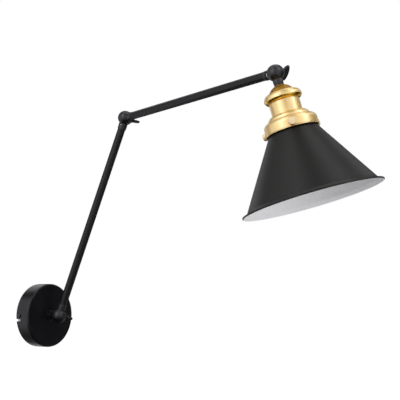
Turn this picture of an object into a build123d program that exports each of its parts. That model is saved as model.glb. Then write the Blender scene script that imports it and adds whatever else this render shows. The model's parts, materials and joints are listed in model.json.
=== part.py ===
"""Wall sconce: canopy on a wall bracket, two tube arms on half-ball knuckles, brass lampholder, cone shade.

Millimetres. The wall is the plane Y = 0 and the lamp stands out towards -Y, with +Z up.
The origin is the middle of the bracket's back, where it lies on the wall.
"""

import os
from math import sqrt

from build123d import *

# Pose of the arms, in degrees
base_swivel = 5.0  # the stem turned in the canopy, leaning the arms towards +X
lower_arm_rise = 70.5  # the lower arm raised from straight out of the wall
lower_arm_twist = -15.0  # the elbow knuckle turned on the lower tube
elbow_bend = 70.5  # the upper arm bent down from the line of the lower arm
upper_arm_twist = 20.0  # the head knuckle turned on the upper tube
head_bend = 80.0  # the shade's axis bent down from the line of the upper arm
base_wing_turn = 186.0  # how far each wing stands from its arm's line
elbow_wing_turn = 103.0
head_wing_turn = -43.0

# General clearances
slip = 0.05  # radial play of a piece that is pushed or screwed into another
run = 0.08  # play of a piece that turns on another
edge = 0.5  # small broken edge

# Wall bracket
strap_thickness = 1.5
strap_width = 20.0
strap_bend = 1.0
ear_height = 12.0
ear_gap = 0.5  # between an ear and the canopy's wall
wall_slot_spacing = 66.0
wall_slot_length = 12.0
wall_slot_width = 4.6
cable_hole_radius = 5.0
earth_screw_offset = 15.5

# Canopy
canopy_radius = 50.0
canopy_depth = 25.0
canopy_wall = 1.2
canopy_round = 2.4
side_screw_depth = 6.8  # from the wall to the side screws
side_screw_radius = 1.5
side_slot_width = 3.6
side_slot_drop = 6.8  # from a side screw to the open leg of its slot

# Screws and nuts
side_head_radius = 2.7
side_head_height = 1.8
side_screw_length = 5.0
earth_screw_radius = 2.0
earth_head_radius = 3.9
earth_head_height = 2.4
earth_washer_thickness = 0.8
stem_thread_radius = 5.0
nut_flats = 14.0
nut_height = 3.0
thread_end = 2.0  # of a threaded end past its nut
lock_washer_thickness = 1.2
lock_washer_radius = 8.0
swivel_washer_thickness = 1.0
swivel_washer_radius = 9.0

# Terminal block
pole_count = 3
pole_pitch = 9.0
pole_length = 17.0
pole_height = 8.5
tower_width = 5.6
tower_length = 11.0
tower_height = 3.5
clamp_radius = 2.3
clamp_bore = 1.5
clamp_length = 13.0
terminal_screw_radius = 1.3
terminal_screw_spacing = 6.5
block_offset = 15.0  # from the middle of the strap
block_screw_radius = 1.3
block_head_radius = 1.9
block_head_height = 1.4
pole_groove = 1.4
web_length = 7.0
web_height = 3.0
clamp_height = 4.6  # of a clamp's middle above the strap

# Half-ball knuckles
base_reach = 44.0  # from the wall to the base knuckle
arm_length = 330.0  # between the knuckles of one arm
ball_radius = 11.2
friction_thickness = 1.2  # washer between the two halves of a ball
friction_inner = 7.8
friction_outer = 10.8
neck_gap = 0.5  # between a half ball and the other half's neck
lead_slot_gap = 2.0  # from a half ball to the floor of the lead's slot in the other half's neck
lead_slot_width = 8.0
neck_radius = 6.8
neck_length = 19.0  # from the middle of the ball to the tube
slim_neck_radius = 6.4  # end of a neck on the upper tube
pocket_radius = 7.2  # wire pocket round the screw boss
pocket_depth = 5.0
boss_radius = 4.4
wire_bore = 3.1
spigot_length = 12.0
wing_screw_radius = 2.5
wing_hole_gap = 0.2
wing_thread_depth = 8.0
wing_seat = 9.6  # from the parting face to the flat under the wing
wing_hub_radius = 4.4
wing_hub_height = 3.2
wing_hub_taper = 8.0
wing_span = 22.0
wing_height = 13.8
wing_waist = 1.2  # lowest point of the wing's inner edge above the seat
wing_tip_height = 10.5
wing_tip_round = 2.0
wing_thickness = 3.4
wing_edge_round = 1.0

# Arms
tube_radius = 6.0
tube_wall = 1.0
lead_radius = 2.6
lead_gap = 0.4  # between the lead's cut end and the ball
lead_end = 4.0  # of a lead past the threaded end it comes out of

# Lampholder, along its axis from the middle of the head knuckle
stem_end_radius = 6.3
cap_top = 17.6
cap_seat_radius = 7.4
cap_dome_radius = 15.6
cap_dome_height = 6.6
cap_dome_bulge = 1.3
cap_slope_height = 0.9
cap_radius = 25.1
cap_band_height = 14.5  # the outer band with its rounded corners
cap_top_round = 6.4
cap_bottom_round = 4.6
cap_wall = 1.5
cap_nut_room = 8.6  # radius of the flat under the cap's nut
cap_overlap = 8.0  # how far the cap reaches over the shell
shell_radius = 20.2
shell_wall = 1.2
shell_visible = 17.0
shell_tail = 8.0  # threaded end inside the gallery
shell_lip = 3.2
shell_lip_height = 1.0
head_nut_height = 3.4

# Socket
insulator_length = 27.0
insulator_floor = 5.0
insulator_mouth = 15.0
shell_thread_radius = 13.3  # inside of the lamp's screw shell
screw_shell_wall = 0.4
screw_shell_length = 15.0
contact_well_radius = 10.5  # hollow under the screw shell
contact_well_depth = 4.0
contact_width = 5.0
contact_thickness = 0.5
contact_rise = 3.0
contact_length = 9.0
contact_rivet_radius = 1.5
contact_rivet_offset = 6.5

# Gallery that carries the shade
gallery_wall = 1.4
gallery_step_radius = 27.4
gallery_step_height = 5.8
gallery_step_bulge = 1.0
gallery_shoulder_height = 7.6
gallery_radius = 35.2
gallery_skirt = 10.2
gallery_neck_width = 1.3  # flat rim round the lampholder's shell
gallery_seat_width = 4.2  # flat seat of the lock ring inside
gallery_shoulder_bulge = 1.4
gallery_ring_height = 3.0
gallery_ring_width = 4.0
gallery_screw_count = 3
gallery_screw_radius = 2.0
gallery_screw_point = 0.9  # chamfer of the screw's tip
gallery_screw_turn = 135.0  # of the front screw from the knuckle's axis
gallery_screw_drop = 4.4  # below the top of the skirt
thumb_radius = 4.9
thumb_height = 4.2
thumb_neck = 2.8
thumb_neck_radius = 2.9

# Shade
shade_wall = 0.9
shade_lip_gap = 1.2  # between the shade's lip and the gallery's skirt
shade_lip_width = 2.4  # the lip that hangs on the gallery's screws
shade_foot_gap = 0.6  # between the gallery's skirt and the cone
shade_collar_round = 0.8
shade_top_radius = 34.2
shade_mouth_radius = 88.4
shade_cone_height = 89.2
shade_brim_width = 5.6
shade_brim_height = 4.4
shade_brim_round = 5.0

# Worked out from the values above
tube_bore = tube_radius - tube_wall
ball_clear = ball_radius + neck_gap
neck_start = ball_radius + lead_slot_gap
canopy_bore = canopy_radius - canopy_wall
ear_reach = sqrt(canopy_bore**2 - (strap_width / 2) ** 2) - ear_gap
wing_flat = sqrt(ball_radius**2 - wing_seat**2)
base_neck = base_reach - canopy_depth - swivel_washer_thickness
nut_place = canopy_depth - canopy_wall - lock_washer_thickness
base_shank = base_reach - base_neck - nut_place + nut_height + thread_end
cap_bottom = cap_top + cap_dome_height + cap_slope_height + cap_band_height
shell_top = cap_bottom - cap_overlap
gallery_top = cap_bottom + shell_visible
shell_bottom = gallery_top + shell_tail
insulator_top = shell_bottom - shell_lip_height - insulator_length
socket_floor = insulator_top + insulator_floor
socket_step = socket_floor + contact_well_depth
gallery_step = gallery_top + gallery_step_height
skirt_top = gallery_step + gallery_shoulder_height
skirt_bottom = skirt_top + gallery_skirt
gallery_seat = gallery_step - gallery_wall
gallery_screw_place = skirt_top + gallery_screw_drop
collar_radius = gallery_radius - gallery_wall - shade_lip_gap - shade_lip_width
cone_top = skirt_bottom + shade_foot_gap
cone_bottom = cone_top + shade_cone_height
plug_radius = tube_bore - slip
cap_spigot = cap_wall + head_nut_height + thread_end
arm_lead_length = arm_length - 2 * (ball_radius + lead_gap)
stem_lead_length = base_neck + base_shank + lead_end - ball_radius - lead_gap
head_lead_length = cap_top + cap_spigot + lead_end - ball_radius - lead_gap


def turned(frame, about_x=0.0, about_z=0.0):
    """A frame turned about its own x, then its own z."""
    return Plane(frame.location * Rotation(about_x, 0, about_z))


# Frames: x is the knuckle's axis, z the line of the arm
wall = Plane(origin=(0, 0, 0), x_dir=(1, 0, 0), z_dir=(0, -1, 0))
stem = turned(wall.offset(base_reach), about_z=-base_swivel)
lower_arm = turned(stem, about_x=-lower_arm_rise)
elbow = turned(lower_arm.offset(arm_length), about_z=lower_arm_twist)
upper_arm = turned(elbow, about_x=elbow_bend)
wrist = turned(upper_arm.offset(arm_length), about_z=upper_arm_twist)
head = turned(wrist, about_x=head_bend)


def side(frame):
    """The plane through a frame's x and z, to draw profiles on."""
    return Plane(origin=frame.origin, x_dir=frame.x_dir, z_dir=-frame.y_dir)


def across(frame):
    """The plane square to a frame's x, facing along it."""
    return Plane(origin=frame.origin, x_dir=frame.y_dir, z_dir=frame.x_dir)


def reverse(frame):
    """The same place, looking back down the arm."""
    return Plane(origin=frame.origin, x_dir=frame.x_dir, z_dir=-frame.z_dir)


def line_of(frame):
    return Axis(frame.origin, frame.z_dir)


def knuckle_axis(frame):
    return Axis(frame.origin, frame.x_dir)


def save(name, builder):
    builder.part.label = name
    export_step(builder.part, f"parts/{name}.step")


def revolved(frame, outline):
    """A solid turned about a frame's z, from (radius, height) points."""
    with BuildPart() as turned:
        with BuildSketch(side(frame)):
            with BuildLine():
                Polyline(*outline, close=True)
            make_face()
        revolve(axis=line_of(frame))
    return turned


def wall_bracket():
    with BuildPart() as bracket:
        with BuildSketch(side(wall)):
            with Locations((0, ear_height / 2)):
                Rectangle(2 * ear_reach, ear_height)
            with Locations((0, strap_thickness + ear_height / 2)):
                Rectangle(2 * (ear_reach - strap_thickness), ear_height, mode=Mode.SUBTRACT)
        extrude(amount=strap_width / 2, both=True)
        bends = bracket.edges().filter_by(Axis.Z).group_by(Axis.Y)
        fillet(bends[-1], radius=strap_bend + strap_thickness)
        fillet(bracket.edges().filter_by(Axis.Z).filter_by(inner_bend), radius=strap_bend)
        with BuildSketch(wall):
            with GridLocations(wall_slot_spacing, 0, 2, 1):
                SlotOverall(wall_slot_length, wall_slot_width)
            Circle(cable_hole_radius)
            with Locations((-earth_screw_offset, 0)):
                Circle(earth_screw_radius + slip)
            with Locations((block_offset, pole_pitch / 2)):
                Circle(block_screw_radius + slip)
        extrude(amount=strap_thickness, mode=Mode.SUBTRACT)
        with BuildSketch(across(wall)):
            with Locations((0, side_screw_depth)):
                Circle(side_screw_radius + slip)
        extrude(amount=canopy_radius, both=True, mode=Mode.SUBTRACT)
    save("wall_bracket", bracket)


def inner_bend(bend):
    """Whether an upright edge is in the inner corner between the strap and an ear."""
    place = bend.center()
    return abs(place.Y + strap_thickness) < edge and abs(place.X) < ear_reach


def canopy():
    inner_round = canopy_round - canopy_wall
    with BuildPart() as cup:
        with BuildSketch(side(wall)):
            with BuildLine():
                Polyline(
                    (stem_thread_radius + run, canopy_depth - canopy_wall),
                    (stem_thread_radius + run, canopy_depth),
                    (canopy_radius - canopy_round, canopy_depth),
                )
                RadiusArc(
                    (canopy_radius - canopy_round, canopy_depth),
                    (canopy_radius, canopy_depth - canopy_round),
                    canopy_round,
                )
                Polyline(
                    (canopy_radius, canopy_depth - canopy_round),
                    (canopy_radius, 0),
                    (canopy_bore, 0),
                    (canopy_bore, canopy_depth - canopy_round),
                )
                RadiusArc(
                    (canopy_bore, canopy_depth - canopy_round),
                    (canopy_bore - inner_round, canopy_depth - canopy_wall),
                    -inner_round,
                )
                Line(
                    (canopy_bore - inner_round, canopy_depth - canopy_wall),
                    (stem_thread_radius + run, canopy_depth - canopy_wall),
                )
            make_face()
        revolve(axis=line_of(wall))
        for turn in (0, 180):
            with BuildSketch(across(turned(wall, about_z=turn))):
                with BuildLine():
                    Polyline((0, side_screw_depth), (side_slot_drop, side_screw_depth), (side_slot_drop, -edge))
                    offset(amount=side_slot_width / 2)
                make_face()
            extrude(amount=canopy_radius + edge, mode=Mode.SUBTRACT)
    save("canopy", cup)


def side_screws():
    with BuildPart() as screws:
        for turn in (0, 180):
            seat = across(turned(wall, about_z=turn)).offset(canopy_radius + slip)
            with BuildSketch(seat):
                with Locations((0, side_screw_depth)):
                    Circle(side_head_radius)
            extrude(amount=side_head_height)
            with BuildSketch(seat):
                with Locations((0, side_screw_depth)):
                    Circle(side_screw_radius)
            extrude(amount=-side_screw_length)
        rims = screws.faces().filter_by(Axis.X).group_by(Axis.X)
        fillet(rims[0].edges() + rims[-1].edges(), radius=edge)
    save("canopy_side_screws", screws)


def earth_screw():
    seat = strap_thickness + earth_washer_thickness
    with BuildPart() as screw:
        with BuildSketch(wall.offset(seat)):
            with Locations((-earth_screw_offset, 0)):
                Circle(earth_head_radius)
        extrude(amount=earth_head_height)
        fillet(screw.faces().sort_by(Axis.Y)[0].edges(), radius=2 * edge)
        with BuildSketch(wall.offset(seat)):
            with Locations((-earth_screw_offset, 0)):
                Circle(earth_screw_radius)
        extrude(amount=slip - seat)
    save("earth_screw", screw)
    with BuildPart() as washer:
        with BuildSketch(wall.offset(strap_thickness)):
            with Locations((-earth_screw_offset, 0)):
                Circle(earth_head_radius + edge)
                Circle(earth_screw_radius + slip, mode=Mode.SUBTRACT)
        extrude(amount=earth_washer_thickness)
    save("earth_washer", washer)


def pole_places():
    return GridLocations(0, pole_pitch, 1, pole_count)


def terminal_block():
    place = wall.offset(strap_thickness).origin + wall.x_dir * block_offset
    seat = Plane(origin=place, x_dir=wall.x_dir, z_dir=wall.z_dir)
    run_of_poles = (pole_count - 1) * pole_pitch
    clamp_line = seat.offset(clamp_height)
    with BuildPart() as block:
        with BuildSketch(seat):
            with pole_places():
                Rectangle(pole_length, pole_pitch - pole_groove)
        extrude(amount=pole_height)
        with BuildSketch(seat):
            Rectangle(web_length, run_of_poles)
        extrude(amount=web_height)
        with BuildSketch(seat.offset(pole_height)):
            with pole_places():
                Rectangle(tower_length, tower_width)
        extrude(amount=tower_height)
        with BuildSketch(across(clamp_line)):
            with GridLocations(pole_pitch, 0, pole_count, 1):
                Circle(clamp_radius + slip)
        extrude(amount=pole_length, both=True, mode=Mode.SUBTRACT)
        with BuildSketch(clamp_line):
            with GridLocations(terminal_screw_spacing, pole_pitch, 2, pole_count):
                Circle(terminal_screw_radius + slip)
        extrude(amount=pole_height + tower_height, mode=Mode.SUBTRACT)
        with BuildSketch(seat):
            with Locations((0, pole_pitch / 2)):
                Circle(block_screw_radius + slip)
        extrude(amount=pole_height, mode=Mode.SUBTRACT)
        with BuildSketch(seat.offset(web_height)):
            with Locations((0, pole_pitch / 2)):
                Circle(block_head_radius + slip)
        extrude(amount=pole_height + tower_height, mode=Mode.SUBTRACT)
    save("terminal_block", block)
    with BuildPart() as clamps:
        with BuildSketch(across(clamp_line)):
            with GridLocations(pole_pitch, 0, pole_count, 1):
                Circle(clamp_radius)
                Circle(clamp_bore, mode=Mode.SUBTRACT)
        extrude(amount=clamp_length / 2, both=True)
    save("terminal_clamps", clamps)
    with BuildPart() as screws:
        with BuildSketch(clamp_line.offset(clamp_radius + slip)):
            with GridLocations(terminal_screw_spacing, pole_pitch, 2, pole_count):
                Circle(terminal_screw_radius)
        extrude(amount=pole_height + tower_height - clamp_height - clamp_radius - edge)
    save("terminal_screws", screws)
    with BuildPart() as screw:
        with BuildSketch(seat.offset(web_height)):
            with Locations((0, pole_pitch / 2)):
                Circle(block_head_radius)
        extrude(amount=block_head_height)
        with BuildSketch(seat.offset(web_height)):
            with Locations((0, pole_pitch / 2)):
                Circle(block_screw_radius)
        extrude(amount=slip - web_height - strap_thickness)
    save("terminal_fixing_screw", screw)


def knuckle_half(name, frame, pole, length, end_radius, spigot_radius, spigot):
    """Half of a ball on the pole side of the knuckle, with its neck along the frame's z and a spigot."""
    face = pole * friction_thickness / 2
    screw_hole = wing_screw_radius + (wing_hole_gap if pole > 0 else slip)
    pocket = face + pole * pocket_depth
    end = length + spigot
    with BuildPart() as half:
        with BuildSketch(side(frame)):
            with BuildLine():
                Polyline(
                    (0, pocket_radius),
                    (neck_radius, pocket_radius),
                    (neck_radius, neck_start),
                    (end_radius, length - edge),
                    (end_radius - edge, length),
                    (spigot_radius, length),
                    (spigot_radius, end - edge),
                    (spigot_radius - edge, end),
                    (0, end),
                    close=True,
                )
            make_face()
        revolve(axis=line_of(frame))
        with BuildSketch(side(frame)):
            with BuildLine():
                Polyline((-face - pole * ball_clear, 0), (face, 0), (face, ball_clear), (-face, ball_clear))
                RadiusArc((-face, ball_clear), (-face - pole * ball_clear, 0), -pole * ball_clear)
            make_face()
        revolve(axis=knuckle_axis(frame), mode=Mode.SUBTRACT)
        with BuildSketch(side(frame)):
            with Locations((face - pole * neck_start / 2, neck_start / 2)):
                Rectangle(neck_start, neck_start)
        extrude(amount=lead_slot_width / 2, both=True, mode=Mode.SUBTRACT)
        with BuildSketch(side(frame)):
            with BuildLine():
                Polyline(
                    (face, screw_hole),
                    (face, boss_radius),
                    (pocket, boss_radius),
                    (pocket, pocket_radius),
                    (face, pocket_radius),
                    (face, ball_radius),
                )
                if pole > 0:
                    RadiusArc((face, ball_radius), (face + wing_seat, wing_flat), ball_radius)
                    Polyline((face + wing_seat, wing_flat), (face + wing_seat, screw_hole), (face, screw_hole))
                else:
                    RadiusArc((face, ball_radius), (face - ball_radius, 0), -ball_radius)
                    Polyline(
                        (face - ball_radius, 0),
                        (face - wing_thread_depth, 0),
                        (face - wing_thread_depth, screw_hole),
                        (face, screw_hole),
                    )
            make_face()
        revolve(axis=knuckle_axis(frame))
        with BuildSketch(frame.offset((boss_radius + pocket_radius) / 2)):
            Circle(wire_bore)
        extrude(amount=end, mode=Mode.SUBTRACT)
    save(name, half)


def friction_washer(name, frame):
    with BuildPart() as washer:
        with BuildSketch(across(frame).offset(-friction_thickness / 2)):
            Circle(friction_outer)
            Circle(friction_inner, mode=Mode.SUBTRACT)
        extrude(amount=friction_thickness - run)
    save(name, washer)


def wing_screw(name, frame, turn):
    """Screw with a leaf-shaped wing, along the knuckle's axis."""
    axis_frame = turned(across(frame), about_z=turn)
    seat = friction_thickness / 2 + wing_seat + run
    tip = friction_thickness / 2 + wing_thread_depth - edge
    leaf = side(axis_frame.offset(seat))
    with BuildPart() as screw:
        with BuildSketch(leaf):
            with BuildLine():
                left = (-wing_span / 2, wing_tip_height)
                right = (wing_span / 2, wing_tip_height)
                ThreePointArc(left, (0, wing_waist), right)
                ThreePointArc(right, (0, wing_height), left)
            face = make_face()
            fillet(face.vertices(), radius=wing_tip_round)
        extrude(amount=wing_thickness / 2, both=True)
        fillet(screw.edges(), radius=wing_edge_round)
        with BuildSketch(axis_frame.offset(seat)):
            Circle(wing_hub_radius)
        extrude(amount=wing_hub_height, taper=wing_hub_taper)
        with BuildSketch(axis_frame.offset(-tip)):
            Circle(wing_screw_radius)
        extrude(amount=tip + seat)
    save(name, screw)


def arm_tube(name, frame):
    with BuildPart() as tube:
        with BuildSketch(frame.offset(neck_length)):
            Circle(tube_radius)
            Circle(tube_bore, mode=Mode.SUBTRACT)
        extrude(amount=arm_length - 2 * neck_length)
    save(name, tube)


def lead(name, frame, length):
    """The sheathed supply lead inside a hollow neck or arm, from clear of the ball."""
    with BuildPart() as cable:
        with BuildSketch(frame.offset(ball_radius + lead_gap)):
            Circle(lead_radius)
        extrude(amount=length)
    save(name, cable)


def base_fastenings():
    flange = revolved(
        wall.offset(canopy_depth),
        [
            (stem_thread_radius + slip, 0),
            (swivel_washer_radius, 0),
            (swivel_washer_radius, swivel_washer_thickness - slip),
            (stem_thread_radius + slip, swivel_washer_thickness - slip),
        ],
    )
    save("base_swivel_washer", flange)
    lock = revolved(
        wall.offset(nut_place),
        [
            (stem_thread_radius + slip, slip),
            (lock_washer_radius, slip),
            (lock_washer_radius, lock_washer_thickness - slip),
            (stem_thread_radius + slip, lock_washer_thickness - slip),
        ],
    )
    save("base_lock_washer", lock)
    hex_nut("base_lock_nut", reverse(wall.offset(nut_place)), nut_height)


def hex_nut(name, frame, height):
    with BuildPart() as nut:
        with BuildSketch(frame):
            RegularPolygon(nut_flats / 2, 6, major_radius=False)
            Circle(stem_thread_radius + slip, mode=Mode.SUBTRACT)
        extrude(amount=height)
    save(name, nut)


def lampholder_cap():
    dome_bottom = cap_top + cap_dome_height
    band_top = dome_bottom + cap_slope_height
    recess = shell_top - slip
    with BuildPart() as cap:
        with BuildSketch(side(head)):
            with BuildLine():
                Line((stem_thread_radius + slip, cap_top), (cap_seat_radius, cap_top))
                SagittaArc((cap_seat_radius, cap_top), (cap_dome_radius, dome_bottom), -cap_dome_bulge)
                Line((cap_dome_radius, dome_bottom), (cap_radius - cap_top_round, band_top))
                RadiusArc(
                    (cap_radius - cap_top_round, band_top),
                    (cap_radius, band_top + cap_top_round),
                    -cap_top_round,
                )
                Line((cap_radius, band_top + cap_top_round), (cap_radius, cap_bottom - cap_bottom_round))
                RadiusArc(
                    (cap_radius, cap_bottom - cap_bottom_round),
                    (cap_radius - cap_bottom_round, cap_bottom),
                    -cap_bottom_round,
                )
                Polyline(
                    (cap_radius - cap_bottom_round, cap_bottom),
                    (shell_radius + slip, cap_bottom),
                    (shell_radius + slip, recess),
                    (cap_dome_radius, recess),
                    (cap_dome_radius - cap_wall, dome_bottom + cap_wall),
                )
                SagittaArc(
                    (cap_dome_radius - cap_wall, dome_bottom + cap_wall),
                    (cap_nut_room, cap_top + cap_wall),
                    cap_dome_bulge,
                )
                Polyline(
                    (cap_nut_room, cap_top + cap_wall),
                    (stem_thread_radius + slip, cap_top + cap_wall),
                    (stem_thread_radius + slip, cap_top),
                )
            make_face()
        revolve(axis=line_of(head))
    save("lampholder_cap", cap)


def lampholder_shell():
    bore = shell_radius - shell_wall
    shell = revolved(
        head,
        [
            (shell_radius, shell_top),
            (shell_radius, shell_bottom),
            (bore - shell_lip, shell_bottom),
            (bore - shell_lip, shell_bottom - shell_lip_height),
            (bore, shell_bottom - shell_lip_height),
            (bore, shell_top),
        ],
    )
    save("lampholder_shell", shell)


def socket():
    bottom = insulator_top + insulator_length
    outer = shell_radius - shell_wall - 2 * slip
    shell_outer = shell_thread_radius + screw_shell_wall
    shell_end = socket_step + screw_shell_length
    with BuildPart() as insulator:
        with BuildSketch(side(head)):
            with BuildLine():
                Polyline(
                    (0, insulator_top),
                    (outer - 2 * edge, insulator_top),
                    (outer, insulator_top + 2 * edge),
                    (outer, bottom - slip),
                    (insulator_mouth, bottom - slip),
                    (insulator_mouth, shell_end),
                    (shell_outer + slip, shell_end),
                    (shell_outer + slip, socket_step),
                    (contact_well_radius, socket_step),
                    (contact_well_radius, socket_floor),
                    (0, socket_floor),
                    close=True,
                )
            make_face()
        revolve(axis=line_of(head))
        with BuildSketch(head.offset(insulator_top)):
            with Locations((contact_rivet_offset, 0)):
                Circle(contact_rivet_radius + slip)
        extrude(amount=insulator_floor, mode=Mode.SUBTRACT)
    save("socket_insulator", insulator)
    screw_shell = revolved(
        head,
        [
            (shell_outer, socket_step + slip),
            (shell_outer, shell_end - slip),
            (shell_thread_radius, shell_end - slip),
            (shell_thread_radius, socket_step + slip + screw_shell_wall),
            (contact_well_radius, socket_step + slip + screw_shell_wall),
            (contact_well_radius, socket_step + slip),
        ],
    )
    save("socket_screw_shell", screw_shell)
    with BuildPart() as contact:
        with BuildSketch(side(head)):
            with BuildLine():
                FilletPolyline(
                    (contact_rivet_offset + contact_width / 2 - edge, socket_floor + slip),
                    (contact_width / 2 + edge, socket_floor + slip),
                    (0, socket_floor + slip + contact_rise),
                    (-contact_length + contact_rivet_offset, socket_floor + slip + contact_rise),
                    radius=edge,
                )
                offset(amount=contact_thickness, side=Side.RIGHT)
            make_face()
        extrude(amount=contact_width / 2, both=True)
    save("socket_centre_contact", contact)
    with BuildPart() as rivet:
        with BuildSketch(head.offset(insulator_top - edge)):
            with Locations((contact_rivet_offset, 0)):
                Circle(contact_rivet_radius)
        extrude(amount=insulator_floor + edge)
    save("socket_rivet", rivet)


def gallery():
    inner = shell_radius + slip
    neck = inner + gallery_neck_width
    skirt_bore = gallery_radius - gallery_wall
    with BuildPart() as ring:
        with BuildSketch(side(head)):
            with BuildLine():
                Polyline((inner, gallery_seat), (inner, gallery_top), (neck, gallery_top))
                SagittaArc((neck, gallery_top), (gallery_step_radius, gallery_step), -gallery_step_bulge)
                SagittaArc(
                    (gallery_step_radius, gallery_step), (gallery_radius, skirt_top), -gallery_shoulder_bulge
                )
                Polyline(
                    (gallery_radius, skirt_top),
                    (gallery_radius, skirt_bottom),
                    (skirt_bore, skirt_bottom),
                    (skirt_bore, skirt_top + edge),
                )
                SagittaArc(
                    (skirt_bore, skirt_top + edge),
                    (gallery_step_radius - edge, gallery_step + gallery_wall),
                    gallery_shoulder_bulge,
                )
                Polyline(
                    (gallery_step_radius - edge, gallery_step + gallery_wall),
                    (inner + gallery_seat_width, gallery_seat),
                    (inner, gallery_seat),
                )
            make_face()
        revolve(axis=line_of(head))
        for turn in gallery_screw_turns():
            spoke = across(turned(head, about_z=turn))
            with BuildSketch(spoke):
                with Locations((0, gallery_screw_place)):
                    Circle(gallery_screw_radius + run)
            extrude(amount=gallery_radius + edge, mode=Mode.SUBTRACT)
    save("shade_gallery", ring)
    lock_ring = revolved(
        head.offset(gallery_seat),
        [
            (inner, slip),
            (inner + gallery_ring_width, slip),
            (inner + gallery_ring_width, gallery_ring_height),
            (inner, gallery_ring_height),
        ],
    )
    save("gallery_lock_ring", lock_ring)


def gallery_screw_turns():
    return [gallery_screw_turn + index * 360 / gallery_screw_count for index in range(gallery_screw_count)]


def gallery_screws():
    seat = gallery_radius + run
    tip = collar_radius + run
    for name, turn in zip(("front", "left", "right"), gallery_screw_turns()):
        spoke = across(turned(head, about_z=turn))
        line = Plane(
            origin=head.offset(gallery_screw_place).origin, x_dir=spoke.x_dir, z_dir=spoke.z_dir
        )
        head_start = seat + thumb_neck
        screw = revolved(
            line,
            [
                (0, tip),
                (gallery_screw_radius - gallery_screw_point, tip),
                (gallery_screw_radius, tip + gallery_screw_point),
                (gallery_screw_radius, seat),
                (thumb_neck_radius, seat),
                (thumb_neck_radius, head_start),
                (thumb_radius - edge, head_start),
                (thumb_radius, head_start + edge),
                (thumb_radius, head_start + thumb_height - edge),
                (thumb_radius - edge, head_start + thumb_height),
                (0, head_start + thumb_height),
            ],
        )
        save(f"gallery_screw_{name}", screw)


def shade():
    lip = gallery_screw_place - gallery_screw_radius - run
    brim_radius = shade_mouth_radius + shade_brim_width
    brim_end = cone_bottom + shade_brim_height
    with BuildPart() as cone:
        with BuildSketch(side(head)):
            with BuildLine():
                FilletPolyline(
                    (collar_radius + shade_lip_width, lip),
                    (collar_radius, lip),
                    (collar_radius, skirt_bottom - shade_foot_gap),
                    (shade_top_radius, cone_top),
                    (shade_mouth_radius, cone_bottom),
                    (brim_radius, brim_end),
                    radius=[shade_collar_round] * 3 + [shade_brim_round],
                )
                offset(amount=shade_wall, side=Side.RIGHT)
            make_face()
        revolve(axis=line_of(head))
    save("shade", cone)


os.makedirs("parts", exist_ok=True)
wall_bracket()
canopy()
side_screws()
earth_screw()
terminal_block()
base_fastenings()
knuckle_half("base_knuckle_stem_half", reverse(stem), 1, base_neck, neck_radius, stem_thread_radius, base_shank)
knuckle_half("base_knuckle_arm_half", lower_arm, -1, neck_length, neck_radius, plug_radius, spigot_length)
knuckle_half("elbow_knuckle_lower_half", reverse(elbow), 1, neck_length, neck_radius, plug_radius, spigot_length)
knuckle_half("elbow_knuckle_upper_half", upper_arm, -1, neck_length, slim_neck_radius, plug_radius, spigot_length)
knuckle_half("head_knuckle_arm_half", reverse(wrist), 1, neck_length, slim_neck_radius, plug_radius, spigot_length)
knuckle_half("head_knuckle_stem_half", head, -1, cap_top, stem_end_radius, stem_thread_radius, cap_spigot)
friction_washer("base_friction_washer", lower_arm)
friction_washer("elbow_friction_washer", upper_arm)
friction_washer("head_friction_washer", head)
wing_screw("base_wing_screw", lower_arm, base_wing_turn)
wing_screw("elbow_wing_screw", upper_arm, elbow_wing_turn)
wing_screw("head_wing_screw", head, head_wing_turn)
arm_tube("lower_arm_tube", lower_arm)
arm_tube("upper_arm_tube", upper_arm)
lead("stem_lead", reverse(stem), stem_lead_length)
lead("lower_arm_lead", lower_arm, arm_lead_length)
lead("upper_arm_lead", upper_arm, arm_lead_length)
lead("head_lead", head, head_lead_length)
lampholder_cap()
hex_nut("cap_lock_nut", head.offset(cap_top + cap_wall + slip), head_nut_height)
lampholder_shell()
socket()
gallery()
gallery_screws()
shade()
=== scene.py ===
import json
import math

import bmesh
import bpy
from mathutils import Matrix, Vector


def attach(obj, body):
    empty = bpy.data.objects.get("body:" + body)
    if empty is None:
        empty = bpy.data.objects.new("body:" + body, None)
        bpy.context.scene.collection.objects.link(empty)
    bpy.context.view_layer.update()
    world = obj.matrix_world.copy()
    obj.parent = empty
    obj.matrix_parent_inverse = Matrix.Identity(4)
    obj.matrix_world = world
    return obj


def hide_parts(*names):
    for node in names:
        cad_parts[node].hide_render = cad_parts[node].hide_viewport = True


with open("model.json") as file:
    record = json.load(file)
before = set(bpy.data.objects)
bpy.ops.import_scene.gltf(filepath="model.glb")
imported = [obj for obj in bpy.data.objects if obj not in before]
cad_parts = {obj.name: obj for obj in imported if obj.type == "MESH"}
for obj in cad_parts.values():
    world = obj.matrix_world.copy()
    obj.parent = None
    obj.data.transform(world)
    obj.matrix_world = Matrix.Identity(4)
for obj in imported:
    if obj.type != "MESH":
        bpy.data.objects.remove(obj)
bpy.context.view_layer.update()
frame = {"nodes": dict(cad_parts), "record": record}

MM = 0.001
record = frame["record"]
joints = {joint["name"]: joint for joint in record["behaviour"]["joints"]}
mounts = {mount["name"]: mount for mount in record["mounts"]}
nodes = frame["nodes"]


# Frames, as in the part: x along the knuckle's axis, z along the arm

def frame_at(origin, x_dir, z_dir):
    z = Vector(z_dir).normalized()
    x = Vector(x_dir)
    x = (x - z * x.dot(z)).normalized()
    y = z.cross(x)
    placed = Matrix((x, y, z)).transposed().to_4x4()
    placed.translation = Vector(origin)
    return placed


base_at = Vector(joints["base_pivot"]["pos_m"])
elbow_at = Vector(joints["elbow_pivot"]["pos_m"])
wrist_at = Vector(joints["head_pivot"]["pos_m"])
head_dir = Vector(mounts["lamp_socket"]["axis"])
head_frame = frame_at(wrist_at, joints["head_pivot"]["axis"], head_dir)


# Meshes

ON_AXIS = 1e-6


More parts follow.
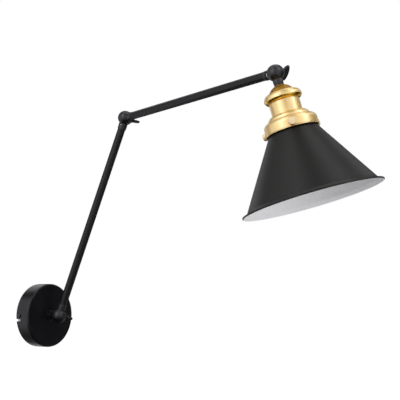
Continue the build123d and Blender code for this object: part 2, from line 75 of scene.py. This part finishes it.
def finish_mesh(obj, materials, sharp=32.0):
    for material in materials:
        obj.data.materials.append(material)
    obj.data.shade_smooth()
    obj.data.set_sharp_from_angle(angle=math.radians(sharp))
    return obj


def new_object(name, bm):
    mesh = bpy.data.meshes.new(name)
    bmesh.ops.recalc_face_normals(bm, faces=bm.faces)
    bm.to_mesh(mesh)
    bm.free()
    obj = bpy.data.objects.new(name, mesh)
    bpy.context.scene.collection.objects.link(obj)
    return obj


def turned_ring(bm, at, radius, height, sides, shape=None):
    """A ring of points in mm about the frame's z, or its one point repeated where it lies on the axis."""
    if radius < ON_AXIS:
        return [bm.verts.new(at @ Vector((0, 0, height * MM)))] * sides
    ring = []
    for k in range(sides):
        angle = 2 * math.pi * k / sides
        reach = shape(radius, height, angle) if shape else radius
        place = (reach * math.cos(angle) * MM, reach * math.sin(angle) * MM, height * MM)
        ring.append(bm.verts.new(at @ Vector(place)))
    return ring


def skin(bm, near, far):
    """The faces between two rings of points."""
    faces = []
    for k in range(len(near)):
        after = (k + 1) % len(near)
        corners = []
        for corner in (near[k], near[after], far[after], far[k]):
            if corner not in corners:
                corners.append(corner)
        faces.append(bm.faces.new(corners))
    return faces


def lathe(name, at, profile, materials, sides, sharp, bands=None, shape=None, closed=True):
    """Turn a (radius, height) outline in mm about the frame's z. bands gives the material of each run."""
    bm = bmesh.new()
    rings = [turned_ring(bm, at, radius, height, sides, shape) for radius, height in profile]
    runs = len(rings) if closed else len(rings) - 1
    for i in range(runs):
        for face in skin(bm, rings[i], rings[(i + 1) % len(rings)]):
            face.material_index = bands[i] if bands else 0
    return finish_mesh(new_object(name, bm), materials, sharp)


def arc(cx, cy, r, start, end, steps):
    """Points of a round corner, angles in degrees."""
    out = []
    for k in range(steps + 1):
        angle = math.radians(start + (end - start) * k / steps)
        out.append((cx + r * math.cos(angle), cy + r * math.sin(angle)))
    return out


def bow(first, last, bulge, steps):
    """Points of a shallow arc from first to last that stands out to the right by bulge."""
    (x0, y0), (x1, y1) = first, last
    length = math.hypot(x1 - x0, y1 - y0)
    nx, ny = (y1 - y0) / length, -(x1 - x0) / length
    out = []
    for k in range(steps + 1):
        share = k / steps
        rise = 4 * share * (1 - share) * bulge
        out.append((x0 + (x1 - x0) * share + nx * rise, y0 + (y1 - y0) * share + ny * rise))
    return out


# Materials

def node_material(name):
    material = bpy.data.materials.new(name)
    material.use_nodes = True
    tree = material.node_tree
    return material, tree, tree.nodes["Principled BSDF"]


NOISE_ROUGH = 0.55


def noise(tree, coords, scale, detail=3.0):
    node = tree.nodes.new("ShaderNodeTexNoise")
    node.inputs["Scale"].default_value = scale
    node.inputs["Detail"].default_value = detail
    node.inputs["Roughness"].default_value = NOISE_ROUGH
    tree.links.new(coords, node.inputs["Vector"])
    return node.outputs["Fac"]


def ramp(tree, fac, dark, light, start=0.3, end=0.7):
    """A colour that goes from dark to light while fac goes from start to end."""
    node = tree.nodes.new("ShaderNodeValToRGB")
    for stop, place, colour in zip(node.color_ramp.elements, (start, end), (dark, light)):
        stop.position = place
        stop.color = (*colour, 1.0)
    tree.links.new(fac, node.inputs["Fac"])
    return node.outputs["Color"]


def span(tree, fac, low, high, start=0.0, end=1.0):
    """A value that goes from low to high while fac goes from start to end."""
    node = tree.nodes.new("ShaderNodeMapRange")
    node.inputs["From Min"].default_value = start
    node.inputs["From Max"].default_value = end
    node.inputs["To Min"].default_value = low
    node.inputs["To Max"].default_value = high
    tree.links.new(fac, node.inputs["Value"])
    return node.outputs["Result"]


def bump(tree, bsdf, height, strength, distance):
    node = tree.nodes.new("ShaderNodeBump")
    node.inputs["Strength"].default_value = strength
    node.inputs["Distance"].default_value = distance
    tree.links.new(height, node.inputs["Height"])
    tree.links.new(node.outputs["Normal"], bsdf.inputs["Normal"])


def object_coords(tree):
    return tree.nodes.new("ShaderNodeTexCoord").outputs["Object"]


def axis_coords(tree, at):
    """Coordinates measured in a frame: z runs along its axis."""
    offset = tree.nodes.new("ShaderNodeVectorMath")
    offset.operation = "SUBTRACT"
    tree.links.new(object_coords(tree), offset.inputs[0])
    offset.inputs[1].default_value = at.translation
    rows = at.to_3x3().transposed()
    parts = tree.nodes.new("ShaderNodeCombineXYZ")
    for k in range(3):
        dot = tree.nodes.new("ShaderNodeVectorMath")
        dot.operation = "DOT_PRODUCT"
        tree.links.new(offset.outputs["Vector"], dot.inputs[0])
        dot.inputs[1].default_value = rows[k]
        tree.links.new(dot.outputs["Value"], parts.inputs[k])
    return parts.outputs["Vector"]


def stretched(tree, coords, scale):
    node = tree.nodes.new("ShaderNodeMapping")
    node.inputs["Scale"].default_value = scale
    tree.links.new(coords, node.inputs["Vector"])
    return node.outputs["Vector"]


SPECKLE_DARK, SPECKLE_LIGHT, GLOSS_PATCHES = 0.35, 0.68, 60.0
PEEL_SHARE, PEEL_HEIGHT, FINE_HEIGHT = 0.8, 0.0002, 0.0001


def coated(name, dark, light, rough=(0.36, 0.46), grain=900.0, peel=0.06, specular=0.3, tint=(1, 1, 1)):
    """Powder coat: fine speckle, uneven gloss and a soft orange-peel surface."""
    material, tree, bsdf = node_material(name)
    bsdf.inputs["Specular IOR Level"].default_value = specular
    bsdf.inputs["Specular Tint"].default_value = (*tint, 1.0)
    coords = object_coords(tree)
    speckle = ramp(tree, noise(tree, coords, grain), dark, light, SPECKLE_DARK, SPECKLE_LIGHT)
    tree.links.new(speckle, bsdf.inputs["Base Color"])
    tree.links.new(span(tree, noise(tree, coords, GLOSS_PATCHES), *rough), bsdf.inputs["Roughness"])
    bump(tree, bsdf, noise(tree, coords, grain * PEEL_SHARE, 2.0), peel, PEEL_HEIGHT)
    return material


LACQUER_ROUGH, LACQUER_IOR = 0.34, 3.0
TURNING, MOTTLE, TURNED_RANGE, TURNED_STOPS = (8.0, 8.0, 2600.0), 140.0, (0.6, 1.4), (0.1, 0.9)


def turned_metal(name, at, dark, light, rough=(0.28, 0.36), lines=0.02, lacquer=1.0):
    """Lacquered metal finished on a lathe: fine rings round the axis and a faint mottle."""
    material, tree, bsdf = node_material(name)
    bsdf.inputs["Metallic"].default_value = 1.0
    bsdf.inputs["Coat Weight"].default_value = lacquer
    bsdf.inputs["Coat Roughness"].default_value = LACQUER_ROUGH
    bsdf.inputs["Coat IOR"].default_value = LACQUER_IOR
    coords = axis_coords(tree, at)
    rings = noise(tree, stretched(tree, coords, TURNING), 1.0, 2.0)
    mottle = noise(tree, coords, MOTTLE, 3.0)
    mix = tree.nodes.new("ShaderNodeMath")
    mix.operation = "ADD"
    tree.links.new(rings, mix.inputs[0])
    tree.links.new(mottle, mix.inputs[1])
    both = span(tree, mix.outputs["Value"], 0.0, 1.0, *TURNED_RANGE)
    tree.links.new(ramp(tree, both, dark, light, *TURNED_STOPS), bsdf.inputs["Base Color"])
    tree.links.new(span(tree, mottle, *rough), bsdf.inputs["Roughness"])
    bump(tree, bsdf, rings, lines, FINE_HEIGHT)
    return material


PLATED_GRAIN, PLATED_RELIEF, MOULDED_CLOUDS = 4, 0.08, 90.0


def plated(name, dark, light, rough=(0.28, 0.4), scale=260.0):
    """Plated metal: cloudy in tone and gloss, with a fine grain."""
    material, tree, bsdf = node_material(name)
    bsdf.inputs["Metallic"].default_value = 1.0
    coords = object_coords(tree)
    clouds = noise(tree, coords, scale, 4.0)
    tree.links.new(ramp(tree, clouds, dark, light), bsdf.inputs["Base Color"])
    tree.links.new(span(tree, clouds, *rough), bsdf.inputs["Roughness"])
    bump(tree, bsdf, noise(tree, coords, scale * PLATED_GRAIN, 2.0), PLATED_RELIEF, FINE_HEIGHT)
    return material


def moulded(name, dark, light, rough=(0.4, 0.5), grain=700.0, relief=0.08):
    """Plastic, fibre or porcelain: a faint mottle and a fine grain."""
    material, tree, bsdf = node_material(name)
    coords = object_coords(tree)
    tree.links.new(ramp(tree, noise(tree, coords, MOULDED_CLOUDS), dark, light), bsdf.inputs["Base Color"])
    tree.links.new(span(tree, noise(tree, coords, grain), *rough), bsdf.inputs["Roughness"])
    bump(tree, bsdf, noise(tree, coords, grain, 2.0), relief, FINE_HEIGHT)
    return material


COAT_TINT = (0.94, 0.92, 1.0)
COAT_DARK, COAT_LIGHT = (0.0038, 0.0038, 0.0046), (0.0064, 0.0064, 0.0078)
black = coated("black_coat", COAT_DARK, COAT_LIGHT, (0.4, 0.48), specular=0.65, tint=COAT_TINT)
canopy_black = coated("canopy_black", COAT_DARK, COAT_LIGHT, (0.28, 0.35), specular=0.42, tint=COAT_TINT)
tube_black = coated("tube_black", COAT_DARK, COAT_LIGHT, (0.34, 0.42), specular=0.34, tint=COAT_TINT)
shade_black = coated(
    "shade_black", (0.01, 0.0098, 0.0094), (0.014, 0.0137, 0.013), (0.42, 0.5), 700.0, specular=0.29
)
shade_white = coated("shade_white", (0.76, 0.75, 0.77), (0.84, 0.835, 0.855), (0.5, 0.6), 500.0)
brass = turned_metal("satin_brass", head_frame, (0.8, 0.505, 0.075), (0.9, 0.592, 0.112), (0.46, 0.54))
# Darker brass with little lacquer for the dome: painted shade standing in for the dark overhead that the
# dome reflects
dome_painted_shade_brass = turned_metal(
    "dome_painted_shade_brass", head_frame, (0.37, 0.185, 0.015), (0.45, 0.245, 0.03), (0.54, 0.62), lacquer=0.06
)
# Saturated amber brass without lacquer for the undercut: a painted reflection of brass on brass in that
# crease
undercut_painted_reflection_brass = turned_metal("undercut_painted_reflection_brass", head_frame, (0.9, 0.52, 0.06), (0.97, 0.6, 0.09), lacquer=0.0)
copper = plated("thumb_copper", (0.93, 0.74, 0.48), (0.98, 0.84, 0.6), (0.66, 0.76))
zinc = plated("bright_zinc", (0.5, 0.5, 0.51), (0.68, 0.68, 0.69))
dull_zinc = plated("dull_zinc", (0.32, 0.33, 0.34), (0.55, 0.56, 0.58), (0.4, 0.58), 120.0)
nickel = plated("nickel", (0.52, 0.49, 0.42), (0.72, 0.69, 0.62))
nylon = moulded("white_nylon", (0.74, 0.74, 0.70), (0.82, 0.82, 0.79))
porcelain = moulded("porcelain", (0.72, 0.71, 0.66), (0.82, 0.81, 0.77), (0.25, 0.4), 400.0, 0.05)
fibre = moulded("fibre", (0.012, 0.012, 0.012), (0.03, 0.03, 0.03), (0.7, 0.85), 1200.0, 0.2)
sheath = moulded("lead_sheath", (0.72, 0.72, 0.70), (0.82, 0.82, 0.81), (0.35, 0.45), 300.0, 0.05)

finishes = {
    "black_coat": black,
    "black_shade": shade_black,
    "satin_brass": brass,
    "bright_steel": zinc,
    "galvanised": dull_zinc,
    "white_nylon": nylon,
    "porcelain": porcelain,
    "nickel": nickel,
    "fibre": fibre,
    "lead_sheath": sheath,
}
own_finish = {"canopy": canopy_black, "lower_arm_tube": tube_black, "upper_arm_tube": tube_black}
for part in record["subparts"]:
    obj = nodes[part["node"]]
    obj.data.materials.clear()
    obj.data.materials.append(own_finish.get(part["node"], finishes[part["material_slot"]]))


def stands_for(obj, body, slot_name, *replaced):
    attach(obj, body)
    if replaced:
        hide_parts(*replaced)


# Sizes of the lamp head in mm: radii, and heights along its axis from the middle of the knuckle

# SIDES counts the flats round a piece, and an edge that turns by more than SHARP degrees stays crisp
SHADE_SIDES, CAP_SIDES, GALLERY_SIDES, SMALL_SIDES = 192, 160, 192, 96
SHADE_SHARP, CAP_SHARP, GALLERY_SHARP, THUMB_SHARP, THREAD_SHARP = 40, 30, 30, 40, 60
SHADE_COLLAR, SHADE_LIP, SHADE_WALL = 30.2, 2.4, 0.9
LIP, FOOT, CONE_TOP, CONE_BOTTOM = 72.32, 79.6, 80.8, 170.0
SHADE_TOP, MOUTH, BRIM, BRIM_END = 32.5, 87.3, 93.55, 173.4
LIP_ROUND, FOOT_ROUND, FOOT_LINING, TOP_ROUND = 0.8, 0.6, 0.4, (0.5, 0.15)
CONE_STEPS, CREASE = (0.0, 0.05, 0.2, 0.4, 0.6, 0.8, 0.96), 0.985
BRIM_STEP, BRIM_BOW = (1.2, 0.55), 0.15
BEAD, BEAD_START, PAINT_EDGE, BEAD_FOOT = 1.2, -68, 82, 150
CONE_LINING, BRIM_LINING = (0.75, 0.5), (0.5, 0.75)
GALLERY = 35.2
THUMB, THUMB_HEIGHT, THUMB_NECK, THUMB_NECK_RADIUS = 4.9, 4.2, 2.8, 2.9
SCREW, SCREW_TIP, RUN = 2.0, 30.28, 0.08
THUMBSCREWS = ("front", "left", "right")


def between(first, last, share):
    return (first[0] + (last[0] - first[0]) * share, first[1] + (last[1] - first[1]) * share)


# Shade: black outside with a rolled edge, white inside from the foot of that edge

def inside(points, gap):
    """Points moved inwards and down through the sheet."""
    return [(x - gap[0], y + gap[1]) for x, y in points]


def shade_piece():
    cone = [(SHADE_TOP, CONE_TOP), (MOUTH, CONE_BOTTOM)]
    outer = [(SHADE_COLLAR + SHADE_LIP, LIP), (SHADE_COLLAR + LIP_ROUND, LIP)]
    outer += arc(SHADE_COLLAR + LIP_ROUND, LIP + LIP_ROUND, LIP_ROUND, 270, 180, 5)[1:]
    outer += [(SHADE_COLLAR, FOOT - FOOT_ROUND)]
    outer += arc(SHADE_COLLAR + FOOT_ROUND, FOOT - FOOT_ROUND, FOOT_ROUND, 180, 110, 4)[1:]
    outer += [(SHADE_TOP - TOP_ROUND[0], CONE_TOP - TOP_ROUND[1])]
    outer += [between(*cone, share) for share in CONE_STEPS]
    flare_end = (MOUTH + BRIM_STEP[0], CONE_BOTTOM + BRIM_STEP[1])
    flare = bow(between(*cone, CREASE), flare_end, BRIM_BOW, 4)
    outer += flare
    bead = (BRIM - BEAD, BRIM_END - BEAD)
    rolled = arc(*bead, BEAD, BEAD_START, PAINT_EDGE, 8)
    inner = arc(*bead, BEAD, PAINT_EDGE, BEAD_FOOT, 4)[1:]
    inner += inside(reversed(flare), BRIM_LINING)
    inner += [between(*inside(cone, CONE_LINING), share) for share in reversed(CONE_STEPS)]
    collar = SHADE_COLLAR - SHADE_WALL
    inner += [(collar, FOOT + FOOT_LINING), (collar, LIP - SHADE_WALL)]
    inner += [(SHADE_COLLAR + SHADE_LIP, LIP - SHADE_WALL)]
    profile = outer + rolled + inner
    black_runs = len(outer) + len(rolled) - 1
    bands = [0] * black_runs + [1] * (len(profile) - black_runs)
    paint = [shade_black, shade_white]
    return lathe("shade_skin", head_frame, profile, paint, SHADE_SIDES, SHADE_SHARP, bands)


stands_for(shade_piece(), "lamp_head", "black_shade", "shade")


# Cap of the lampholder: dome, rounded band with a sharp lower edge, and an undercut down to the shell. The
# dome carries painted shade and the undercut a painted amber reflection.

CAP_TOP, CAP_BORE, CAP_SEAT, CAP_FOOT, CAP_DOME = 17.65, 6.4, 7.0, 27.0, 16.8
CAP, CAP_ROUND, CAP_EDGE, CAP_END = 25.0, 34.4, 35.9, 39.55
CAP_WALL, CAP_RECESS, CAP_STEP, CAP_WAIST, CAP_NECK = 1.5, 31.65, 15.6, 14.2, 8.6
SEAT_EDGE, DOME_FOOT, DOME_BOW, DOME_SEAM = (0.3, 0.6), 0.2, 1.3, 0.3
EDGE_ROUND, UNDERCUT_START, UNDERCUT_END, UNDERCUT_BOW = 0.35, 0.3, 0.9, 0.45
SHELL = 20.3


def quarter(cx, cy, rx, ry, steps=12):
    """A quarter of an ellipse, from the end next to the axis out to the rim."""
    out = []
    for k in range(steps + 1):
        angle = math.pi / 2 * k / steps
        out.append((cx + rx * math.sin(angle), cy - ry * math.cos(angle)))
    return out


def cap_piece():
    dome_start = (CAP_SEAT + SEAT_EDGE[0], CAP_TOP + SEAT_EDGE[1])
    dome = bow(dome_start, (CAP_DOME, CAP_FOOT + DOME_FOOT), DOME_BOW, 12)
    profile = [(CAP_BORE, CAP_TOP), (CAP_SEAT, CAP_TOP)] + dome
    dome_runs = len(profile) - 1
    band = CAP_DOME + DOME_SEAM
    profile += quarter(band, CAP_ROUND, CAP - band, CAP_ROUND - CAP_FOOT)
    profile += arc(CAP - EDGE_ROUND, CAP_EDGE - EDGE_ROUND, EDGE_ROUND, 0, 60, 3)
    edge_runs = len(profile) - 1
    profile += bow((CAP - UNDERCUT_START, CAP_EDGE), (SHELL + UNDERCUT_END, CAP_END), UNDERCUT_BOW, 8)
    undercut_runs = len(profile)
    profile += [(SHELL, CAP_END), (SHELL, CAP_RECESS), (CAP_STEP, CAP_RECESS), (CAP_WAIST, CAP_FOOT)]
    profile += [(CAP_NECK, CAP_TOP + CAP_WALL), (CAP_BORE, CAP_TOP + CAP_WALL)]
    # The dome takes the brass with painted shade, the undercut the brass with a painted brass-on-brass
    # reflection, and the rest plain brass
    bands = [1] * dome_runs + [0] * (edge_runs - dome_runs)
    bands += [2] * (undercut_runs - edge_runs) + [0] * (len(profile) - undercut_runs)
    metals = [brass, dome_painted_shade_brass, undercut_painted_reflection_brass]
    return lathe("cap_skin", head_frame, profile, metals, CAP_SIDES, CAP_SHARP, bands)


stands_for(cap_piece(), "lamp_head", "satin_brass", "lampholder_cap")


# Gallery: a rounded step, a shoulder and a skirt with a beaded edge, bored for its three thumbscrews

STEP_TOP, STEP_END, STEP = 56.9, 63.2, 27.6
SHOULDER_TOP, SHOULDER, SKIRT_TOP, SKIRT_END = 63.7, 28.4, 70.4, 80.2
SEAM_WIDTH, SEAM_DEPTH, SEAM_ROUND, GALLERY_WALL, GALLERY_SEAT = 0.8, 2.0, 0.3, 1.4, 61.05
STEP_CREASE, GROOVE_DEPTH, GROOVE_TOP, GROOVE_END, EDGE_BEAD = (0.1, 0.4), 0.25, 1.6, 1.25, 0.55
SKIRT_ROOM, SHOULDER_WALL, STEP_WALL, SEAT_WIDTH = 0.8, (2.2, 2.0), (1.4, 1.1), 4.2
BORE_SIDES, BORE_IN, BORE_OUT = 48, 4.0, 3.0


def bored(obj, cutter):
    """Cut one mesh out of another and keep the result as a plain mesh."""
    cut = obj.modifiers.new("bores", "BOOLEAN")
    cut.operation = "DIFFERENCE"
    cut.solver = "EXACT"
    cut.object = cutter
    shape = bpy.data.meshes.new_from_object(obj.evaluated_get(bpy.context.evaluated_depsgraph_get()))
    obj.modifiers.clear()
    obj.data = shape
    bpy.data.objects.remove(cutter)


def screw_frame(place):
    joint = joints[place + "_thumbscrew_turn"]
    return frame_at(joint["pos_m"], head_dir, joint["axis"])


def screw_bores():
    bm = bmesh.new()
    for place in THUMBSCREWS:
        at = screw_frame(place)
        inner = turned_ring(bm, at, SCREW + RUN, GALLERY - BORE_IN, BORE_SIDES)
        outer = turned_ring(bm, at, SCREW + RUN, GALLERY + BORE_OUT, BORE_SIDES)
        skin(bm, inner, outer)
        bm.faces.new(inner)
        bm.faces.new(outer)
    return new_object("screw_bores", bm)


def gallery_piece():
    seam = SHELL + SEAM_WIDTH
    seam_foot = STEP_TOP + SEAM_DEPTH
    profile = [(SHELL, seam_foot), (seam, seam_foot), (seam, STEP_TOP + SEAM_ROUND)]
    profile += quarter(seam + SEAM_ROUND, STEP_END, STEP - seam - SEAM_ROUND, STEP_END - STEP_TOP)
    profile += [(STEP - STEP_CREASE[0], SHOULDER_TOP + STEP_CREASE[1])]
    profile += quarter(SHOULDER, SKIRT_TOP, GALLERY - SHOULDER, SKIRT_TOP - SHOULDER_TOP)
    profile += [(GALLERY, SKIRT_END - GROOVE_TOP), (GALLERY - GROOVE_DEPTH, SKIRT_END - GROOVE_END)]
    profile += arc(GALLERY - EDGE_BEAD, SKIRT_END - EDGE_BEAD, EDGE_BEAD, -40, 90, 6)
    profile += [(GALLERY - GALLERY_WALL, SKIRT_END), (GALLERY - GALLERY_WALL, SKIRT_TOP + SKIRT_ROOM)]
    profile += [(SHOULDER + SHOULDER_WALL[0], SHOULDER_TOP + SHOULDER_WALL[1])]
    profile += [(STEP - STEP_WALL[0], SHOULDER_TOP + STEP_WALL[1])]
    profile += [(SHELL + SEAT_WIDTH, GALLERY_SEAT), (SHELL, GALLERY_SEAT)]
    ring = lathe("gallery_skin", head_frame, profile, [brass], GALLERY_SIDES, GALLERY_SHARP)
    bored(ring, screw_bores())
    ring.data.set_sharp_from_angle(angle=math.radians(GALLERY_SHARP))
    return ring


# Thumbscrews of the gallery: knurled knobs with a low domed face

KNURLS, KNURL_DEPTH, KNURL_BAND = 32, 0.18, 0.1
TIP, THUMB_ROUND, FACE_RIM, FACE_STEP, FACE_BOW = 0.9, 0.5, 1.1, 0.2, 0.12


def knurled(radius, height, angle):
    depth = KNURL_DEPTH if radius > THUMB - KNURL_BAND else 0.0
    return radius - depth * abs(math.sin(KNURLS / 2 * angle))


def thumbscrew(name):
    seat = GALLERY + RUN
    knob = seat + THUMB_NECK
    top = knob + THUMB_HEIGHT
    face = top - FACE_STEP
    rim = THUMB - FACE_RIM
    profile = [(0, SCREW_TIP), (SCREW - TIP, SCREW_TIP), (SCREW, SCREW_TIP + TIP), (SCREW, seat)]
    profile += [(THUMB_NECK_RADIUS, seat)]
    profile += arc(THUMB_NECK_RADIUS + THUMB_ROUND, knob - THUMB_ROUND, THUMB_ROUND, 180, 90, 3)
    profile += arc(THUMB - THUMB_ROUND, knob + THUMB_ROUND, THUMB_ROUND, 270, 360, 4)
    profile += arc(THUMB - THUMB_ROUND, top - THUMB_ROUND, THUMB_ROUND, 0, 90, 4)
    profile += [(rim, top), (rim - FACE_STEP, face)]
    profile += bow((rim - 2 * FACE_STEP, face), (0, top), FACE_BOW, 5)
    piece = lathe(
        "thumbscrew_" + name, screw_frame(name), profile, [copper], SMALL_SIDES, THUMB_SHARP,
        shape=knurled, closed=False,
    )
    stands_for(piece, name + "_thumbscrew", "satin_brass", "gallery_screw_" + name)


stands_for(gallery_piece(), "lamp_head", "satin_brass", "shade_gallery")
for place in THUMBSCREWS:
    thumbscrew(place)


# Screw shell of the socket, with its rolled thread

SOCKET_STEP, SOCKET_END = 45.65, 60.55
THREAD, THREAD_DEPTH, THREAD_PITCH, THREAD_STEPS = 13.3, 0.9, 3.62, 64
SHELL_WALL, WELL = 0.35, 10.5


def threaded(radius, height, angle):
    if radius <= WELL:
        return radius
    return radius - THREAD_DEPTH / 2 * (1 - math.cos(2 * math.pi * height / THREAD_PITCH - angle))


def screw_shell():
    start = SOCKET_STEP + SHELL_WALL
    heights = [start + (SOCKET_END - start) * k / THREAD_STEPS for k in range(THREAD_STEPS + 1)]
    profile = [(WELL, SOCKET_STEP), (THREAD + SHELL_WALL, SOCKET_STEP)]
    profile += [(THREAD + SHELL_WALL, height) for height in heights]
    profile += [(THREAD, height) for height in reversed(heights)]
    profile += [(WELL, start)]
    return lathe("screw_shell", head_frame, profile, [nickel], SMALL_SIDES, THREAD_SHARP, shape=threaded)


stands_for(screw_shell(), "lamp_head", "nickel", "socket_screw_shell")


# White lead, where it bends across the open slot of the elbow and of the head knuckle

WIRE, WIRE_BEND, WIRE_TURN = 0.95, 3.8, 85.0
WIRE_STEPS, WIRE_SIDES = 8, 24
SLOT_REACH, SLOT_LEVEL = 4.3, 11.95


def lead_bend(name, at, body):
    """A short arc of the lead, with both ends inside the slot."""
    half = math.radians(WIRE_TURN)
    bm = bmesh.new()
    rings = []
    for i in range(-WIRE_STEPS, WIRE_STEPS + 1):
        bend = half * i / WIRE_STEPS
        ring = []
        for k in range(WIRE_SIDES):
            angle = 2 * math.pi * k / WIRE_SIDES
            radius = WIRE_BEND + WIRE * math.cos(angle)
            x = WIRE_BEND - SLOT_REACH - radius * math.cos(bend)
            y = radius * math.sin(bend)
            z = SLOT_LEVEL + WIRE * math.sin(angle)
            ring.append(bm.verts.new(at @ Vector((x * MM, y * MM, z * MM))))
        rings.append(ring)
    for near, far in zip(rings, rings[1:]):
        skin(bm, near, far)
    bm.faces.new(rings[0])
    bm.faces.new(rings[-1])
    stands_for(finish_mesh(new_object(name, bm), [sheath]), body, "lead_sheath")


elbow_back = frame_at(elbow_at, joints["elbow_pivot"]["axis"], base_at - elbow_at)
wrist_back = frame_at(wrist_at, joints["head_pivot"]["axis"], elbow_at - wrist_at)
lead_bend("elbow_lead_bend", elbow_back, "lower_arm")
lead_bend("head_lead_bend", wrist_back, "upper_arm")


# Camera, solved from the photograph's edges

CAMERA_AT = (-1.04226, -1.05037, 0.03856)
AZIMUTH, ELEVATION = math.radians(-54.869), math.radians(-5.809)
LENS, SENSOR = 80.591, 36.0

cam = bpy.data.objects.new("camera", bpy.data.cameras.new("camera"))
bpy.context.scene.collection.objects.link(cam)
across = math.cos(ELEVATION)
back = Vector((math.sin(AZIMUTH) * across, -math.cos(AZIMUTH) * across, math.sin(ELEVATION)))
cam.location = CAMERA_AT
cam.rotation_mode = "QUATERNION"
cam.rotation_quaternion = (-back).to_track_quat("-Z", "Y")
cam.data.sensor_width = SENSOR
cam.data.sensor_fit = "HORIZONTAL"
cam.data.lens = LENS
cam.data.clip_start = 0.01
cam.data.clip_end = 60
bpy.context.scene.camera = cam


# Studio in metres: floor, four soft boxes, dark screens out of view, and a white surround

AIM = (-0.05, -0.47, 0.3)
FLOOR, FLOOR_SIZE = -0.75, 40.0
FLOOR_DARK, FLOOR_LIGHT = (0.82, 0.82, 0.82), (0.84, 0.84, 0.84)
SCREEN_DARK, SCREEN_LIGHT = (0.02, 0.02, 0.02), (0.03, 0.03, 0.03)
FLOOR_GLOW_NEAR, FLOOR_GLOW_FAR = 0.72, 0.88
FLOOR_NEAR, FLOOR_FAR = 0.8, 4.0
FILL = 0.22


def plane_mesh(name, at, aim, width, height):
    bm = bmesh.new()
    turn = (Vector(aim) - Vector(at)).to_track_quat("-Z", "Y").to_matrix().to_4x4()
    turn.translation = Vector(at)
    for x, y in ((-1, -1), (1, -1), (1, 1), (-1, 1)):
        bm.verts.new(turn @ Vector((x * width / 2, y * height / 2, 0)))
    bm.faces.new(bm.verts)
    return new_object(name, bm)


def seen_rays(tree):
    """One for rays from the camera, and for those that metal or glass sends on."""
    path = tree.nodes.new("ShaderNodeLightPath")
    total = path.outputs["Is Camera Ray"]
    for ray in ("Is Glossy Ray", "Is Transmission Ray"):
        node = tree.nodes.new("ShaderNodeMath")
        node.operation = "MAXIMUM"
        tree.links.new(total, node.inputs[0])
        tree.links.new(path.outputs[ray], node.inputs[1])
        total = node.outputs["Value"]
    return total


def floor_piece():
    obj = plane_mesh("floor", (0, 0, FLOOR), (0, 0, FLOOR - 1), FLOOR_SIZE, FLOOR_SIZE)
    # The floor glows white for camera and mirror rays: painted light, dimmer near the object so that its
    # shadow shows, and brighter further out
    material, tree, bsdf = node_material("glowing_floor")
    tone = ramp(tree, noise(tree, object_coords(tree), 3.0), FLOOR_DARK, FLOOR_LIGHT)
    tree.links.new(tone, bsdf.inputs["Base Color"])
    bsdf.inputs["Roughness"].default_value = 0.9
    bsdf.inputs["Specular IOR Level"].default_value = 0.0
    bsdf.inputs["Emission Color"].default_value = (1, 1, 1, 1)
    away = tree.nodes.new("ShaderNodeVectorMath")
    away.operation = "LENGTH"
    tree.links.new(object_coords(tree), away.inputs[0])
    glow = tree.nodes.new("ShaderNodeMath")
    glow.operation = "MULTIPLY"
    fade = span(tree, away.outputs["Value"], FLOOR_GLOW_NEAR, FLOOR_GLOW_FAR, FLOOR_NEAR, FLOOR_FAR)
    tree.links.new(fade, glow.inputs[0])
    tree.links.new(seen_rays(tree), glow.inputs[1])
    tree.links.new(glow.outputs["Value"], bsdf.inputs["Emission Strength"])
    obj.data.materials.append(material)


def screen(name, at, width, height, level=False):
    """A dark screen beside the object, seen only in its reflections."""
    below = (at[0], at[1], at[2] - 1)
    obj = plane_mesh(name, at, below if level else AIM, width, height)
    material, tree, bsdf = node_material(name)
    tone = ramp(tree, noise(tree, object_coords(tree), 2.0), SCREEN_DARK, SCREEN_LIGHT)
    tree.links.new(tone, bsdf.inputs["Base Color"])
    bsdf.inputs["Specular IOR Level"].default_value = 0.0
    obj.data.materials.append(material)
    obj.visible_camera = False
    obj.visible_diffuse = False
    obj.visible_shadow = False


def soft_box(name, at, width, height, power, mirrored=True):
    """An area light turned to the object, seen in its reflections where mirrored."""
    data = bpy.data.lights.new(name, "AREA")
    data.energy = power
    data.shape = "RECTANGLE"
    data.size = width
    data.size_y = height
    obj = bpy.data.objects.new(name, data)
    obj.location = at
    obj.rotation_mode = "QUATERNION"
    obj.rotation_quaternion = (Vector(AIM) - Vector(at)).to_track_quat("-Z", "Y")
    obj.visible_glossy = mirrored
    bpy.context.scene.collection.objects.link(obj)


def surround():
    world = bpy.context.scene.world or bpy.data.worlds.new("surround")
    bpy.context.scene.world = world
    world.use_nodes = True
    tree = world.node_tree
    tree.nodes.clear()
    out = tree.nodes.new("ShaderNodeOutputWorld")
    sky = tree.nodes.new("ShaderNodeBackground")
    sky.inputs["Color"].default_value = (1, 1, 1, 1)
    tree.links.new(span(tree, seen_rays(tree), FILL, 1.0), sky.inputs["Strength"])
    tree.links.new(sky.outputs["Background"], out.inputs["Surface"])


floor_piece()
soft_box("left_box", (-1.31, -0.155, 1.05), 0.6, 1.7, 8.5)
soft_box("right_box", (0.08, -1.38, 1.5), 0.6, 1.7, 8.7)
soft_box("top_box", (0.27, -0.01, 1.71), 1.5, 0.7, 6.0)
soft_box("low_box", (0.5, -1.5, -0.35), 0.7, 0.5, 8.2, mirrored=False)
screen("front_screen", (-2.27, -1.75, 0.3), 0.5, 2.4)
screen("overhead_screen", (0.0, -0.4, 2.5), 4.0, 4.0)
screen("right_screen", (1.0, -1.4, 0.15), 1.6, 1.9)
screen("back_screen", (1.37, 0.243, 0.2), 1.78, 2.6)
screen("left_screen", (-0.19, 1.0, 1.25), 0.6, 0.6)
screen("low_left_screen", (-0.14, 1.1, 0.5), 0.6, 1.4)
screen("floor_screen", (-0.5, -0.575, -0.7), 2.6, 2.95, level=True)
surround()
bpy.context.scene.view_settings.view_transform = "Standard"
